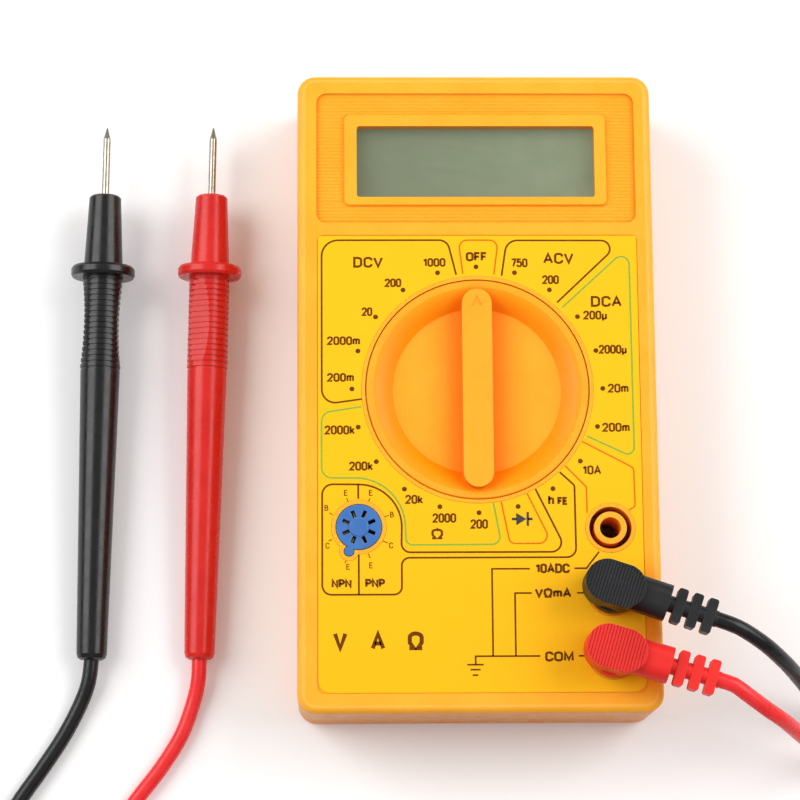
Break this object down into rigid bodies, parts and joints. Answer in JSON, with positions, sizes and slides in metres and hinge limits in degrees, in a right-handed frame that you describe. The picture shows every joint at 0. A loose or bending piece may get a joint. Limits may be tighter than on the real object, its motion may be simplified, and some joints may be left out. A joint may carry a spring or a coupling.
{
  "type": "digital multimeter",
  "caption": "Pocket digital multimeter with a dished rotary switch, LCD window, transistor socket, three lead sockets and two test leads.",
  "frame": {"origin": "centre of the flat back of the case", "axes": "+X to the right of the face, +Y towards the display end, +Z out of the face"},
  "size_m": [0.1924, 0.2007, 0.0346],
  "materials": {
    "case_abs": "satin moulded ABS",
    "cover_abs": "satin moulded ABS",
    "knob_abs": "satin moulded ABS",
    "label_film": "printed polyester film",
    "clear_window": "clear",
    "display_glass": "reflective display",
    "white_plastic": "matte",
    "dark_rubber": "matte",
    "board": "phenolic laminate",
    "gold_plate": "plated",
    "black_resin": "glossy resin",
    "resistor_body": "lacquered",
    "film_body": "dipped",
    "can_sleeve": "shrink sleeve",
    "blue_plastic": "glossy",
    "shunt_alloy": "drawn wire",
    "fuse_tube": "clear",
    "nickel": "nickel plated",
    "battery_jacket": "printed jacket",
    "red_wire": "PVC insulation",
    "copper_foil": "foil",
    "spring_steel": "drawn wire",
    "brass": "turned",
    "screw_steel": "zinc plated",
    "ball_steel": "ground",
    "black_plastic": "satin moulded PVC",
    "red_plastic": "satin moulded PVC",
    "black_pvc": "glossy flexible PVC",
    "red_pvc": "glossy flexible PVC",
    "black_gloss": "glossy moulded ABS",
    "red_gloss": "glossy moulded ABS"
  },
  "bodies": {
    "case": {"front_case": "case_abs", "rear_cover": "cover_abs", "function_label": "label_film", "lcd_lens": "clear_window", "lcd_glass": "display_glass", "lcd_holder": "white_plastic", "zebra_strips": "dark_rubber", "circuit_board": "board", "switch_tracks": "gold_plate", "chip_blob": "black_resin", "resistors": "resistor_body", "film_capacitors": "film_body", "electrolytic_capacitors": "can_sleeve", "rectifier_diodes": "black_resin", "trimmer": "blue_plastic", "shunt_wire": "shunt_alloy", "fuse_glass": "fuse_tube", "fuse_caps": "nickel", "fuse_clips": "nickel", "battery_can": "battery_jacket", "battery_terminals": "nickel", "battery_snap": "dark_rubber", "battery_leads": "red_wire", "shield_foil": "copper_foil", "earth_spring": "spring_steel", "transistor_socket": "blue_plastic", "transistor_contacts": "gold_plate", "jack_sleeves": "brass", "case_screws": "screw_steel", "board_screws": "screw_steel", "black_cord_run": "black_pvc", "black_cord_coil": "black_pvc", "black_cord_tail": "black_pvc", "black_cord_tie": "white_plastic", "red_cord_run": "red_pvc", "red_cord_coil": "red_pvc", "red_cord_tail": "red_pvc", "red_cord_tie": "white_plastic", "black_probe_handle": "black_gloss", "black_probe_needle": "nickel", "red_probe_handle": "red_gloss", "red_probe_needle": "nickel"},
    "switch_knob": {"knob": "knob_abs", "knob_contacts": "gold_plate", "detent_spring_left": "spring_steel", "detent_spring_right": "spring_steel"},
    "ball_left": {"detent_ball_left": "ball_steel"},
    "ball_right": {"detent_ball_right": "ball_steel"},
    "black_plug": {"black_plug_body": "black_plastic", "black_plug_pin": "nickel", "black_plug_relief": "black_plastic"},
    "red_plug": {"red_plug_body": "red_plastic", "red_plug_pin": "nickel", "red_plug_relief": "red_plastic"}
  },
  "joints": [
    {"name": "function_switch", "type": "hinge", "parent": "case", "child": "switch_knob", "pos_m": [0, -0.0004, 0.022], "axis": [0, 0, 1], "continuous": true},
    {"name": "detent_left", "type": "slide", "parent": "switch_knob", "child": "ball_left", "axis": [0, 0, 1], "range_m": [0, 0.0004], "stiffness_N_per_m": 400},
    {"name": "detent_right", "type": "slide", "parent": "switch_knob", "child": "ball_right", "axis": [0, 0, 1], "range_m": [0, 0.0004], "stiffness_N_per_m": 400},
    {"name": "black_plug_pull", "type": "slide", "parent": "case", "child": "black_plug", "axis": [0, 0, 1], "range_m": [0, 0.02]},
    {"name": "red_plug_pull", "type": "slide", "parent": "case", "child": "red_plug", "axis": [0, 0, 1], "range_m": [0, 0.02]}
  ]
}
